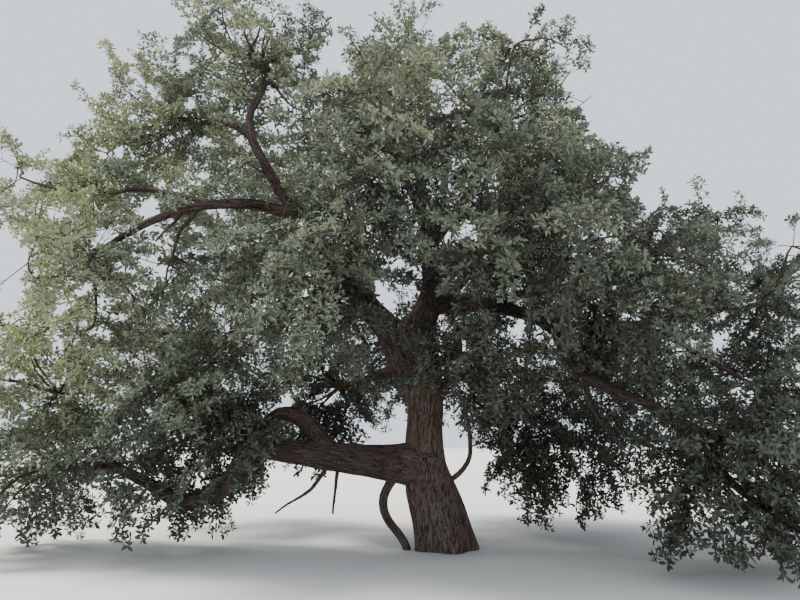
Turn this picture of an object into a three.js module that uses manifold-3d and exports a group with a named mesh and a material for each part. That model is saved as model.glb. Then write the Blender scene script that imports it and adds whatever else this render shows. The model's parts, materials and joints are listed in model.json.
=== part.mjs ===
// A broad old oak: trunk, boughs and masses of leafy twigs, each one a closed solid of its own.
// Millimetres, +Z up. The origin is on the ground under the trunk and +X runs along the crown.

import * as THREE from "three";
import { mergeVertices } from "three/addons/utils/BufferGeometryUtils.js";
import Module from "manifold-3d";

const wasm = await Module();
wasm.setup();

// How the solids meet
const seam = 0.3; // clear gap between two neighbours
const weld = 1e-3; // vertices nearer than this are one

// The trunk: leaning, waisted above the low bough and flared at the roots
const trunk = {
  height: 4150,
  aside: [0, 90, 275, 360, 380, 345, 430, 680, 870], // how far left, at equal steps from ground to fork
  widths: [1160, 1030, 970, 760, 680, 700, 790, 900, 880], // at the same steps
  rows: 11,
  sides: 18,
  top: 0.6, // last ring as a share of its width, so that the fork is rounded
  flare: { ridges: 5, depth: 0.11, height: 520, turn: 0.6 },
};

// What all boughs share
const limb = {
  step: 750, // length of one straight stretch
  fewest: 3, // stretches of a bough that reaches for a mass
  sides: { thick: 9, thin: 6, thickFrom: 240 },
  bend: 0.035, // sideways bend of a bough that reaches for a mass, as a share of its length
  nose: { past: 0.4, share: 0.6 }, // rounded end where others carry on, in shares of the half thickness
};

// Boughs: what each grows on and how far along, thickness at root and tip, and either its length
// with the headings and rises it passes through, or the mass that it reaches for and its bow.
// Heading 0 is +X, 90 is +Y. A rise of 90 is straight up.
const boughs = [
  {
    name: "left_low",
    on: "trunk",
    at: 0.36,
    thick: [640, 370],
    length: 3450,
    heading: [197, 203],
    rise: [4, 10],
  },
  {
    name: "left_far",
    on: "left_low",
    at: 0.96,
    thick: [350, 130],
    length: 4100,
    heading: [209, 175, 160, 160, 166, 168],
    rise: [-66, -50, 14, 24, 14, -12],
  },
  { name: "left_lift", on: "left_far", at: 0.72, thick: [150, 110], to: "left_low", bow: -120 },
  { name: "left_arch", on: "left_low", at: 0.56, thick: [360, 200], to: "left_arch", bow: 540 },
  { name: "left_stub", on: "trunk", at: 0.8, thick: [240, 170], to: "left_inner", bow: 120 },
  {
    name: "left_leader",
    on: "trunk",
    at: 0.91,
    thick: [500, 320],
    length: 3450,
    heading: [210, 223],
    rise: [40, 44],
  },
  {
    name: "left_reach",
    on: "left_leader",
    at: 0.98,
    thick: [230, 105],
    length: 3300,
    heading: [202, 196, 202, 192, 165],
    rise: [12, 4, -22, -24, -35],
  },
  {
    name: "left_rise",
    on: "left_leader",
    at: 0.97,
    thick: [230, 120],
    length: 4150,
    heading: [187, 172, 150, 40, 110],
    rise: [52, 60, 64, 70, 68],
  },
  { name: "upper_left", on: "left_rise", at: 0.5, thick: [150, 100], to: "upper_left", bow: 120 },
  { name: "left_tip", on: "left_reach", at: 0.45, thick: [130, 85], to: "left_tip", bow: 150 },
  { name: "left_side", on: "left_leader", at: 0.6, thick: [190, 110], to: "left_mid", bow: 160 },
  {
    name: "centre",
    on: "trunk",
    at: 0.9,
    thick: [560, 330],
    length: 2900,
    heading: [0, 0, 120, 170],
    rise: [56, 72, 86, 88],
  },
  { name: "top_centre", on: "centre", at: 0.97, thick: [300, 120], to: "top_centre", bow: 0 },
  { name: "top_right", on: "centre", at: 0.84, thick: [260, 120], to: "top_right", bow: -250 },
  { name: "right_high", on: "centre", at: 0.62, thick: [230, 120], to: "right_high", bow: -200 },
  {
    name: "right_long",
    on: "centre",
    at: 0.34,
    thick: [280, 220],
    length: 2900,
    heading: [350, 336, 320],
    rise: [4, -12, -42],
  },
  {
    name: "right_drop",
    on: "right_long",
    at: 0.97,
    thick: [240, 140],
    length: 3050,
    heading: [300, 312, 330, 334, 338],
    rise: [-80, -46, -26, -26, -70],
  },
  { name: "right_end", on: "right_drop", at: 0.84, thick: [150, 90], to: "right_foot", bow: 120 },
  { name: "right_shoulder", on: "right_long", at: 0.5, thick: [190, 110], to: "right_shoulder", bow: 200 },
  { name: "far_right", on: "right_long", at: 0.88, thick: [200, 120], to: "far_right", bow: -150 },
  { name: "right_front", on: "right_long", at: 0.4, thick: [170, 100], to: "right_mid", bow: 150 },
  { name: "right_edge", on: "far_right", at: 0.4, thick: [130, 90], to: "right_edge", bow: 150 },
  { name: "right_inner", on: "trunk", at: 0.56, thick: [300, 150], to: "right_inner", bow: 900 },
  { name: "front", on: "centre", at: 0.72, thick: [230, 120], to: "front", bow: -200 },
  { name: "front_right", on: "centre", at: 0.47, thick: [240, 120], to: "front_right", bow: 120 },
  { name: "front_left", on: "left_leader", at: 0.36, thick: [220, 120], to: "front_left", bow: 80 },
  { name: "back_left", on: "trunk", at: 0.95, thick: [400, 150], to: "back_left_high", bow: 260 },
  { name: "back_left_low", on: "back_left", at: 0.3, thick: [230, 130], to: "back_left_low", bow: 420 },
  { name: "back_right", on: "centre", at: 0.28, thick: [360, 150], to: "back_right_high", bow: -300 },
  { name: "back_right_low", on: "back_right", at: 0.28, thick: [230, 130], to: "back_right_low", bow: 450 },
  { name: "back_low", on: "trunk", at: 0.84, thick: [330, 150], to: "back_low", bow: 260 },
];

// Masses of foliage: what carries each, its middle and its full width, depth and height
const masses = [
  { name: "top_left", on: "left_rise", middle: [-4150, -150, 10450], size: [3900, 3500, 3000] },
  { name: "upper_left", on: "upper_left", middle: [-6200, 200, 9150], size: [3400, 3500, 3200] },
  { name: "left_tip", on: "left_tip", middle: [-7850, -200, 7150], size: [3300, 3500, 3000] },
  { name: "left_reach", on: "left_reach", middle: [-6800, -1900, 4800], size: [3400, 3300, 3000] },
  { name: "left_mid", on: "left_side", middle: [-4900, -300, 4900], size: [3400, 3300, 2900] },
  { name: "left_low", on: "left_lift", middle: [-8100, 0, 3350], size: [3600, 3500, 2900] },
  { name: "left_bottom", on: "left_far", middle: [-7800, -400, 1500], size: [3400, 3600, 2800] },
  { name: "left_arch", on: "left_arch", middle: [-4950, -700, 2550], size: [3500, 3400, 3400] },
  { name: "left_inner", on: "left_stub", middle: [-2700, 1200, 3000], size: [2700, 2800, 2400] },
  { name: "front_left", on: "front_left", middle: [-2350, -2600, 4850], size: [3500, 3300, 3000] },
  { name: "front_low", on: "trunk", at: 0.8, middle: [450, -1900, 3500], size: [2900, 2100, 1900] },
  { name: "front", on: "front", middle: [-950, -3000, 7000], size: [3900, 3600, 3700] },
  { name: "front_right", on: "front_right", middle: [1250, -2800, 5500], size: [3700, 3500, 3200] },
  { name: "top_centre", on: "top_centre", middle: [-850, 400, 9850], size: [4000, 4000, 3500] },
  { name: "top_right", on: "top_right", middle: [1950, 300, 9700], size: [3300, 3600, 3400] },
  { name: "right_high", on: "right_high", middle: [3000, 0, 7950], size: [3300, 3500, 3300] },
  { name: "right_shoulder", on: "right_shoulder", middle: [5000, 300, 5900], size: [3600, 3500, 2900] },
  { name: "right_mid", on: "right_front", middle: [3100, -2100, 4600], size: [3300, 3200, 2800] },
  { name: "far_right", on: "far_right", middle: [7200, -200, 4700], size: [3900, 3800, 3200] },
  { name: "right_inner", on: "right_inner", middle: [2600, 1700, 2500], size: [3700, 3300, 3200] },
  { name: "right_drop", on: "right_drop", middle: [4150, -2700, 1500], size: [3000, 3000, 2500] },
  { name: "right_edge", on: "right_edge", middle: [6900, -600, 2500], size: [3600, 3500, 2900] },
  { name: "right_foot", on: "right_end", middle: [6200, -2000, 860], size: [2400, 2400, 1500] },
  { name: "back_left_high", on: "back_left", middle: [-4400, 3200, 8000], size: [4700, 4700, 4300] },
  { name: "back_right_high", on: "back_right", middle: [2100, 3200, 8200], size: [4900, 4700, 4400] },
  { name: "back_low", on: "back_low", middle: [-1000, 4400, 4900], size: [4800, 4000, 3900] },
  { name: "back_left_low", on: "back_left_low", middle: [-6400, 3400, 4000], size: [4600, 4200, 3700] },
  { name: "back_right_low", on: "back_right_low", middle: [5100, 3400, 3900], size: [4700, 4200, 3800] },
];

// The rule by which every mass grows
const growth = {
  seed: 4711,
  seedStep: 101, // from one mass to the next
  space: 60, // kept free between two masses
  ground: 90, // nothing hangs lower than this
  enter: 0.86, // share of a mass's half size, from its middle, at which its bough ends
  stemReach: 0.45, // share of the way from there to the middle that the stem takes
  stemThick: 0.88, // share of its bough's thickness
  stemOnTrunk: 66, // half thickness of a stem that stands on the trunk
  stemSunk: 60, // how far back inside its limb a stem starts before it is cut clear
  areaPerLeaf: 1.7e6, // outside of a mass that one leaf has to cover
  leavesPerTip: 5,
  shell: [0.35, 0.75], // tips keep between these shares of the half size
  choices: 10, // places tried for each tip, of which the one farthest from the others is taken
  wayBack: 0.35, // weight of the way back to the stem when a tip picks what to branch from
  firstTwig: 0.8, // thickness after the stem, as a share of it
  twigTip: 22, // half thickness of a twig at its tip
  twigFork: 0.5, // a side twig's half thickness at its root, at most, as a share of what carries it
  twigSides: 3,
  room: 80, // kept free round limbs
};

// Leaves: folded kites, each standing for a spray
const leaf = {
  length: 1450,
  shortest: 800,
  shrink: 0.9, // tried next when a leaf would leave its space
  width: 0.5, // share of the length
  widest: 0.55, // where the leaf is widest, as a share of the length from its root
  fold: 0.04, // how far the sides stand above the rib, as a share of the length
  sunk: 0.4, // how far past a twig's axis the root runs, as a share of the twig's half thickness
  apart: 150, // least distance between two roots on a twig
  tries: 40,
  outward: 0.8, // how strongly leaves point out of the mass
  spots: [0.4, 0.7, 1], // shares of the length at which its distance from other leaves is taken
};

const bark = new THREE.MeshStandardMaterial({ name: "bark", color: 0x5d5049, roughness: 0.95 });
const foliage = new THREE.MeshStandardMaterial({ name: "leaves", color: 0x46592c, roughness: 0.6 });

const up = new THREE.Vector3(0, 0, 1);
const east = new THREE.Vector3(1, 0, 0);
const mix = THREE.MathUtils.lerp;

// The same numbers in the same order on every run
function randomFrom(seed) {
  let state = seed;
  return () => {
    state = (state * 16807) % 2147483647;
    return state / 2147483647;
  };
}

// Value of a list at a share of its length, straight between its entries
function along(list, share) {
  const place = Math.min(share, 1) * (list.length - 1);
  const before = Math.min(Math.floor(place), list.length - 2);
  return mix(list[before], list[before + 1], place - before);
}

function direction(heading, rise) {
  const h = THREE.MathUtils.degToRad(heading);
  const r = THREE.MathUtils.degToRad(rise);
  return new THREE.Vector3(Math.cos(h) * Math.cos(r), Math.sin(h) * Math.cos(r), Math.sin(r));
}

// A closed geometry as a solid that can be joined and cut
function solidOf(geometry) {
  const bare = geometry.clone();
  bare.deleteAttribute("normal");
  bare.deleteAttribute("uv");
  const merged = mergeVertices(bare, weld);
  const vertProperties = merged.attributes.position.array;
  const triVerts = new Uint32Array(merged.index.array);
  return new wasm.Manifold(new wasm.Mesh({ numProp: 3, vertProperties, triVerts }));
}

function meshOf(solid, name, material) {
  const made = solid.getMesh();
  const geometry = new THREE.BufferGeometry();
  geometry.setAttribute("position", new THREE.BufferAttribute(made.vertProperties, 3));
  geometry.setIndex(new THREE.BufferAttribute(made.triVerts, 1));
  geometry.computeVertexNormals();
  const mesh = new THREE.Mesh(geometry, material);
  mesh.name = name;
  return mesh;
}

// The largest body of a solid: scraps and sealed hollows fall away
function mainBody(solid) {
  const bodies = solid.decompose();
  return bodies.reduce((best, body) => (body.volume() > best.volume() ? body : best));
}

function boxesMeet(one, other) {
  const a = one.boundingBox();
  const b = other.boundingBox();
  return [0, 1, 2].every((k) => a.min[k] < b.max[k] && b.min[k] < a.max[k]);
}

function meet(one, other) {
  return boxesMeet(one, other) && !one.intersect(other).isEmpty();
}

// Adds to each point of a limb's axis its direction and a side that doesn't twist
function spineOf(points, radii) {
  const spine = [];
  let side = new THREE.Vector3(0, 1, 0);
  points.forEach((at, i) => {
    const before = points[Math.max(i - 1, 0)];
    const after = points[Math.min(i + 1, points.length - 1)];
    const ahead = after.clone().sub(before).normalize();
    side = side.clone().addScaledVector(ahead, -side.dot(ahead)).normalize();
    spine.push({ at, ahead, side, radius: radii[i] });
  });
  return spine;
}

// A cylinder bent along a spine, its rings as wide as the spine says and fatter by grow all round
function sweep(spine, sides, grow, ringShape = () => 1) {
  const rows = spine.length - 1;
  const shape = new THREE.CylinderGeometry(1, 1, 1, sides, rows);
  const place = shape.attributes.position;
  const point = new THREE.Vector3();
  for (let i = 0; i < place.count; i += 1) {
    const row = Math.round((place.getY(i) + 0.5) * rows);
    const { at, ahead, side, radius } = spine[row];
    const other = side.clone().cross(ahead);
    const angle = Math.atan2(place.getZ(i), place.getX(i));
    const wide = (radius + grow) * ringShape(angle, at.z);
    const past = row === 0 ? -grow : row === rows ? grow : 0;
    point.copy(at).addScaledVector(ahead, past);
    point.addScaledVector(side, place.getX(i) * wide);
    point.addScaledVector(other, place.getZ(i) * wide);
    place.setXYZ(i, point.x, point.y, point.z);
  }
  return solidOf(shape);
}

// The trunk's rings all lie level, so that its foot is flat
function trunkSpine() {
  const spine = [];
  for (let row = 0; row <= trunk.rows; row += 1) {
    const share = row / trunk.rows;
    const at = new THREE.Vector3(-along(trunk.aside, share), 0, trunk.height * share);
    const radius = (along(trunk.widths, share) / 2) * (row === trunk.rows ? trunk.top : 1);
    spine.push({ at, ahead: up, side: east, radius });
  }
  return spine;
}

function flareShape(angle, height) {
  const { ridges, depth, turn } = trunk.flare;
  return 1 + depth * Math.cos(ridges * angle + turn) * Math.exp(-height / trunk.flare.height);
}

// Where a limb's axis is at a share of its length
function pointOn(spine, share) {
  const place = share * (spine.length - 1);
  const before = Math.min(Math.floor(place), spine.length - 2);
  return spine[before].at.clone().lerp(spine[before + 1].at, place - before);
}

// The place where a bough coming from start enters a mass
function entryOf(mass, start) {
  const middle = new THREE.Vector3(...mass.middle);
  const half = new THREE.Vector3(...mass.size).multiplyScalar(0.5);
  const way = start.clone().sub(middle);
  const share = growth.enter / way.clone().divide(half).length();
  return middle.addScaledVector(way, Math.min(share, 1));
}

// A bough that follows its headings and rises
function courseOf(bough, start) {
  const points = [start];
  const steps = Math.round(bough.length / limb.step);
  for (let step = 0; step < steps; step += 1) {
    const share = (step + 0.5) / steps;
    const ahead = direction(along(bough.heading, share), along(bough.rise, share));
    points.push(points[step].clone().addScaledVector(ahead, bough.length / steps));
  }
  return points;
}

// A bough that reaches for a mass in a bow, bending to one side and back
function reachOf(bough, start, bendTo) {
  const points = [start];
  const end = entryOf(masses.find((mass) => mass.name === bough.to), start);
  const way = end.clone().sub(start);
  const aside = way.clone().cross(up).normalize();
  const steps = Math.max(Math.round(way.length() / limb.step), limb.fewest);
  for (let step = 1; step <= steps; step += 1) {
    const share = step / steps;
    const bend = bendTo * limb.bend * way.length() * Math.sin(2 * Math.PI * share);
    const point = start.clone().addScaledVector(way, share).addScaledVector(aside, bend);
    points.push(point.addScaledVector(up, bough.bow * 4 * share * (1 - share)));
  }
  return points;
}

// Axes of all limbs. One that other limbs carry on from gets a rounded end.
const limbs = new Map([["trunk", { spine: trunkSpine(), sides: trunk.sides, shape: flareShape }]]);
boughs.forEach((bough, index) => {
  const start = pointOn(limbs.get(bough.on).spine, bough.at);
  const bendTo = index % 2 ? 1 : -1;
  const points = bough.to ? reachOf(bough, start, bendTo) : courseOf(bough, start);
  const radii = points.map((_, i) => along(bough.thick, i / (points.length - 1)) / 2);
  const wide = bough.thick[0] >= limb.sides.thickFrom;
  const sides = wide ? limb.sides.thick : limb.sides.thin;
  const carriesMass = masses.some((mass) => mass.on === bough.name);
  limbs.set(bough.name, { spine: spineOf(points, radii), sides, nose: !carriesMass });
});

// The spine with a narrower ring beyond its end
function withNose(spine) {
  const last = spine[spine.length - 1];
  const at = last.at.clone().addScaledVector(last.ahead, limb.nose.past * last.radius);
  return [...spine, { ...last, at, radius: limb.nose.share * last.radius }];
}

// Solids of all limbs, each cut clear of the ones before it
for (const [name, made] of limbs) {
  const { sides, shape } = made;
  const spine = made.nose ? withNose(made.spine) : made.spine;
  made.grown = sweep(spine, sides, seam / Math.cos(Math.PI / sides), shape);
  made.solid = sweep(spine, sides, 0, shape);
  for (const [earlier, other] of limbs) {
    if (earlier === name) break;
    if (boxesMeet(made.solid, other.grown)) made.solid = mainBody(made.solid.subtract(other.grown));
  }
}

// The space of a mass: its rounded outline, less what lies nearer to a neighbour or near the ground
function spaceOf(mass) {
  const middle = new THREE.Vector3(...mass.middle);
  const half = new THREE.Vector3(...mass.size).multiplyScalar(0.5);
  const meanHalf = (half.x + half.y + half.z) / 3;
  const walls = [];
  for (const other of masses) {
    if (other === mass) continue;
    const away = new THREE.Vector3(...other.middle).sub(middle);
    const distance = away.length();
    const otherHalf = (other.size[0] + other.size[1] + other.size[2]) / 6;
    const share = (distance ** 2 + meanHalf ** 2 - otherHalf ** 2) / 2 / distance;
    walls.push({ away: away.normalize(), room: share - growth.space / 2 });
  }
  const holds = (point) => {
    const off = point.clone().sub(middle);
    if (point.z < growth.ground || off.clone().divide(half).length() > 1) return false;
    return walls.every((wall) => off.dot(wall.away) < wall.room);
  };
  return { middle, half, meanHalf, holds };
}

// Whether a point keeps clear of every limb
function clearOfLimbs(point) {
  for (const { spine } of limbs.values()) {
    for (let i = 1; i < spine.length; i += 1) {
      const a = spine[i - 1];
      const b = spine[i];
      const way = b.at.clone().sub(a.at);
      const share = THREE.MathUtils.clamp(point.clone().sub(a.at).dot(way) / way.lengthSq(), 0, 1);
      const away = a.at.clone().addScaledVector(way, share).distanceTo(point);
      if (away < mix(a.radius, b.radius, share) + growth.room) return false;
    }
  }
  return true;
}

// A leaf's root and tip, and its two sides, for a direction and a turn about it
function leafCorners(root, ahead, turn, length) {
  const across = up.clone().cross(ahead).normalize().applyAxisAngle(ahead, turn);
  const above = ahead.clone().cross(across);
  const wide = root.clone().addScaledVector(ahead, length * leaf.widest);
  wide.addScaledVector(above, length * leaf.fold);
  const side = across.multiplyScalar((length * leaf.width) / 2);
  return {
    root,
    tip: root.clone().addScaledVector(ahead, length),
    left: wide.clone().add(side),
    right: wide.clone().sub(side),
  };
}

// Points all over a leaf, by which it is kept in its space
function leafPoints({ root, tip, left, right }) {
  const widest = [left, left.clone().lerp(right, 0.5), right];
  const outer = widest.map((point) => point.clone().lerp(tip, 0.5));
  const inner = widest.map((point) => point.clone().lerp(root, 0.5));
  return [tip, ...widest, ...outer, ...inner];
}

// A tetrahedron drawn out to the leaf's corners
function leafSolid({ root, tip, left, right }) {
  const shape = new THREE.TetrahedronGeometry(1);
  const place = shape.attributes.position;
  for (let i = 0; i < place.count; i += 1) {
    const first = place.getX(i) > 0;
    const rib = first ? tip : root;
    const side = first ? left : right;
    const corner = place.getZ(i) > 0 ? rib : side;
    place.setXYZ(i, corner.x, corner.y, corner.z);
  }
  return solidOf(shape);
}

// The stem of a mass: it starts a little inside its limb and ends short of the middle
function stemOf(mass, space) {
  const { spine } = limbs.get(mass.on);
  const last = spine[spine.length - 1];
  const from = mass.at ? pointOn(spine, mass.at) : last.at;
  const ahead = space.middle.clone().sub(from).normalize();
  const surface = mass.at ? along(trunk.widths, mass.at) / 2 : 0;
  const entry = mass.at ? entryOf(mass, from) : from;
  return {
    root: from.clone().addScaledVector(ahead, surface - growth.stemSunk),
    to: entry.clone().lerp(space.middle, growth.stemReach),
    radius: mass.at ? growth.stemOnTrunk : last.radius * growth.stemThick,
  };
}

function nearest(others, point) {
  return others.reduce((least, other) => Math.min(least, other.distanceTo(point)), Infinity);
}

// A seeded place in the shell of a mass
function placeIn(space, random) {
  const height = 2 * random() - 1;
  const turn = 2 * Math.PI * random();
  const flat = Math.sqrt(1 - height ** 2);
  const share = mix(growth.shell[0], growth.shell[1], Math.sqrt(random()));
  const point = new THREE.Vector3(flat * Math.cos(turn), flat * Math.sin(turn), height);
  return point.multiply(space.half).multiplyScalar(share).add(space.middle);
}

// Places for the twig tips of a mass, spread by taking the best of several choices
function scatterTips(count, stem, space, random) {
  const tips = [];
  for (let n = 0; n < count; n += 1) {
    let best = null;
    let bestGap = -1;
    for (let choice = 0; choice < growth.choices; choice += 1) {
      const point = placeIn(space, random);
      if (!space.holds(point) || !clearOfLimbs(point)) continue;
      const gap = nearest([...tips, stem.to], point);
      if (gap > bestGap) {
        best = point;
        bestGap = gap;
      }
    }
    if (best) tips.push(best);
  }
  return tips;
}

// Joins each tip, nearest first, to whatever gives it the shortest way back to the stem
function branch(stem, space, tips) {
  const nodes = [{ at: stem.to, parent: null, back: 0, load: 0, twigs: [] }];
  const order = tips.slice().sort((a, b) => a.distanceTo(stem.to) - b.distanceTo(stem.to));
  for (const at of order) {
    let best = null;
    let bestWay = Infinity;
    for (const node of nodes) {
      const distance = node.at.distanceTo(at);
      const way = distance + growth.wayBack * node.back;
      const middle = node.at.clone().lerp(at, 0.5);
      if (way < bestWay && space.holds(middle) && clearOfLimbs(middle)) {
        best = { at, parent: node, back: node.back + distance, load: 0, twigs: [] };
        bestWay = way;
      }
    }
    if (!best) continue;
    nodes.push(best);
    best.parent.twigs.push(best);
  }
  for (const tip of nodes.slice(1)) {
    for (let node = tip; node; node = node.parent) node.load += 1;
  }
  return nodes;
}

// Splits the branching into runs: each goes on along the most loaded twig to a tip
function runsOf(stem, nodes) {
  const [first] = nodes;
  const taper = Math.log((growth.firstTwig * stem.radius) / growth.twigTip);
  const power = taper / Math.log(Math.max(first.load, 2));
  const stemRun = { points: [stem.root], radii: [stem.radius] };
  const runs = [stemRun];
  const follow = (run, node, most) => {
    const radius = Math.min(growth.twigTip * Math.max(node.load, 1) ** power, most);
    const [main, ...others] = node.twigs.slice().sort((a, b) => b.load - a.load);
    run.points.push(node.at);
    run.radii.push(main ? radius : radius * growth.twigFork);
    if (!main) return;
    follow(run, main, radius);
    for (const other of others) {
      const root = radius * growth.twigFork;
      const side = { points: [node.at], radii: [root] };
      runs.push(side);
      follow(side, other, root);
    }
  };
  follow(stemRun, first, stem.radius);
  return runs;
}

// A try at a leaf: somewhere on a run, pointing out of the mass, inside its space
function tryLeaf(runs, space, random) {
  const run = runs[Math.floor(random() * runs.length)];
  const place = random() * (run.points.length - 1);
  const before = Math.min(Math.floor(place), run.points.length - 2);
  const at = run.points[before].clone().lerp(run.points[before + 1], place - before);
  const radius = mix(run.radii[before], run.radii[before + 1], place - before);
  const stray = direction(360 * random(), THREE.MathUtils.radToDeg(Math.asin(2 * random() - 1)));
  const out = at.clone().sub(space.middle).divide(space.half);
  const ahead = out.multiplyScalar(leaf.outward).add(stray).normalize();
  const turn = 2 * Math.PI * random();
  const root = at.clone().addScaledVector(ahead, -leaf.sunk * radius);
  for (let length = leaf.length; length > leaf.shortest; length *= leaf.shrink) {
    const corners = leafCorners(root, ahead, turn, length);
    const points = leafPoints(corners);
    if (!points.every(space.holds)) continue;
    if (!points.every(clearOfLimbs)) return null;
    const spots = leaf.spots.map((share) => root.clone().lerp(corners.tip, share));
    return { at, run, spots, solid: leafSolid(corners) };
  }
  return null;
}

// Twigs and leaves of a mass: each leaf is the try that lands farthest from those before it
function growMass(mass, index) {
  const random = randomFrom(growth.seed + index * growth.seedStep);
  const space = spaceOf(mass);
  const stem = stemOf(mass, space);
  const count = Math.round((4 * Math.PI * space.meanHalf ** 2) / growth.areaPerLeaf);
  const tips = scatterTips(Math.ceil(count / growth.leavesPerTip), stem, space, random);
  const runs = runsOf(stem, branch(stem, space, tips));
  for (const run of runs) run.solid = sweep(spineOf(run.points, run.radii), growth.twigSides, 0);
  const pieces = runs.map((run) => run.solid);
  const taken = runs.flatMap((run) => run.points);
  const roots = [stem.root];
  for (let n = 0; n < count; n += 1) {
    let best = null;
    let bestGap = 0;
    for (let attempt = 0; attempt < leaf.tries; attempt += 1) {
      const tried = tryLeaf(runs, space, random);
      if (!tried || nearest(roots, tried.at) < leaf.apart) continue;
      const gap = Math.min(...tried.spots.map((spot) => nearest(taken, spot)));
      if (gap <= bestGap) continue;
      if (pieces.some((piece) => piece !== tried.run.solid && meet(piece, tried.solid))) continue;
      best = tried;
      bestGap = gap;
    }
    if (!best) continue;
    pieces.push(best.solid);
    taken.push(...best.spots);
    roots.push(best.at);
  }
  const whole = mainBody(wasm.Manifold.union(pieces));
  return mainBody(whole.subtract(limbs.get(mass.on).grown));
}

const group = new THREE.Group();
for (const [name, { solid }] of limbs) {
  group.add(meshOf(solid, name === "trunk" ? name : `bough_${name}`, bark));
}
masses.forEach((mass, index) => group.add(meshOf(growMass(mass, index), `foliage_${mass.name}`, foliage)));

export default group;
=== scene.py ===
import json
import math

import bpy
import numpy as np
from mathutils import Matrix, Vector, noise

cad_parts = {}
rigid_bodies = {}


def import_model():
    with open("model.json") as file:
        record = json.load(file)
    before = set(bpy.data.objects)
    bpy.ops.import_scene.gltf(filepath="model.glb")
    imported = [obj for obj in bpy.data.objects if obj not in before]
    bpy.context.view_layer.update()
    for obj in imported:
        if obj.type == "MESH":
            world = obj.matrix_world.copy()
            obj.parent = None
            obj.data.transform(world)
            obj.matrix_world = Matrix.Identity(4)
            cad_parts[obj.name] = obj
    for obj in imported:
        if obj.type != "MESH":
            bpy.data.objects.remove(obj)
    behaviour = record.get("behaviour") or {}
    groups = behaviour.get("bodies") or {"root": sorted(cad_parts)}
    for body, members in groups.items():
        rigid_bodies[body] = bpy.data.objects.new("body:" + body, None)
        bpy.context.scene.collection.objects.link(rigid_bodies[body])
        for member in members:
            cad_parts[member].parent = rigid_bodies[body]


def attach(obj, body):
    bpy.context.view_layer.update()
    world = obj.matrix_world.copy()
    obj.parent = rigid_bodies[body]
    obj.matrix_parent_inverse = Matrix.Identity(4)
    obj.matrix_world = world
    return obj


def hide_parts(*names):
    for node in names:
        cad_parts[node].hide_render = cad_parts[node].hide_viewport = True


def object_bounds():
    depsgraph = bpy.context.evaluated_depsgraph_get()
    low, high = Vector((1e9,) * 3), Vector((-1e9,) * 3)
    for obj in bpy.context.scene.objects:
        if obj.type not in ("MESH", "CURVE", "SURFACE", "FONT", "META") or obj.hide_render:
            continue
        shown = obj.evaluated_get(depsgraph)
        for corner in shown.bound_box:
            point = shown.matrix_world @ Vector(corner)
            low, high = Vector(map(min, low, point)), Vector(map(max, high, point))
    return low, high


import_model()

# An old oak: bark skins over trunk and boughs, then twigs and rosettes of leaves in every mass.
# Metres, +Z up. Heading 0 is +X, 90 is +Y. A rise of 90 is straight up.
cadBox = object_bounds()
up = Vector((0, 0, 1))

trunk = {
    "height": 4.15,
    "aside": [0, 0.09, 0.275, 0.36, 0.38, 0.345, 0.43, 0.68, 0.87],  # how far left, at equal steps up
    "widths": [1.16, 1.03, 0.97, 0.76, 0.68, 0.7, 0.79, 0.9, 0.88],  # at the same steps
    "rows": 11,
    "below": 0.3,  # made this much too long at the foot, then cut level
    "flare": {"ridges": 5, "depth": 0.11, "height": 0.52, "turn": 0.6},
}

limbRule = {
    "step": 0.75,  # between the points of a bough
    "suckerStep": 0.25,
    "fewest": 3,  # steps of a bough that reaches for its mass
    "bend": 0.035,  # how far such a bough winds aside, as a share of its length
}

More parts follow.
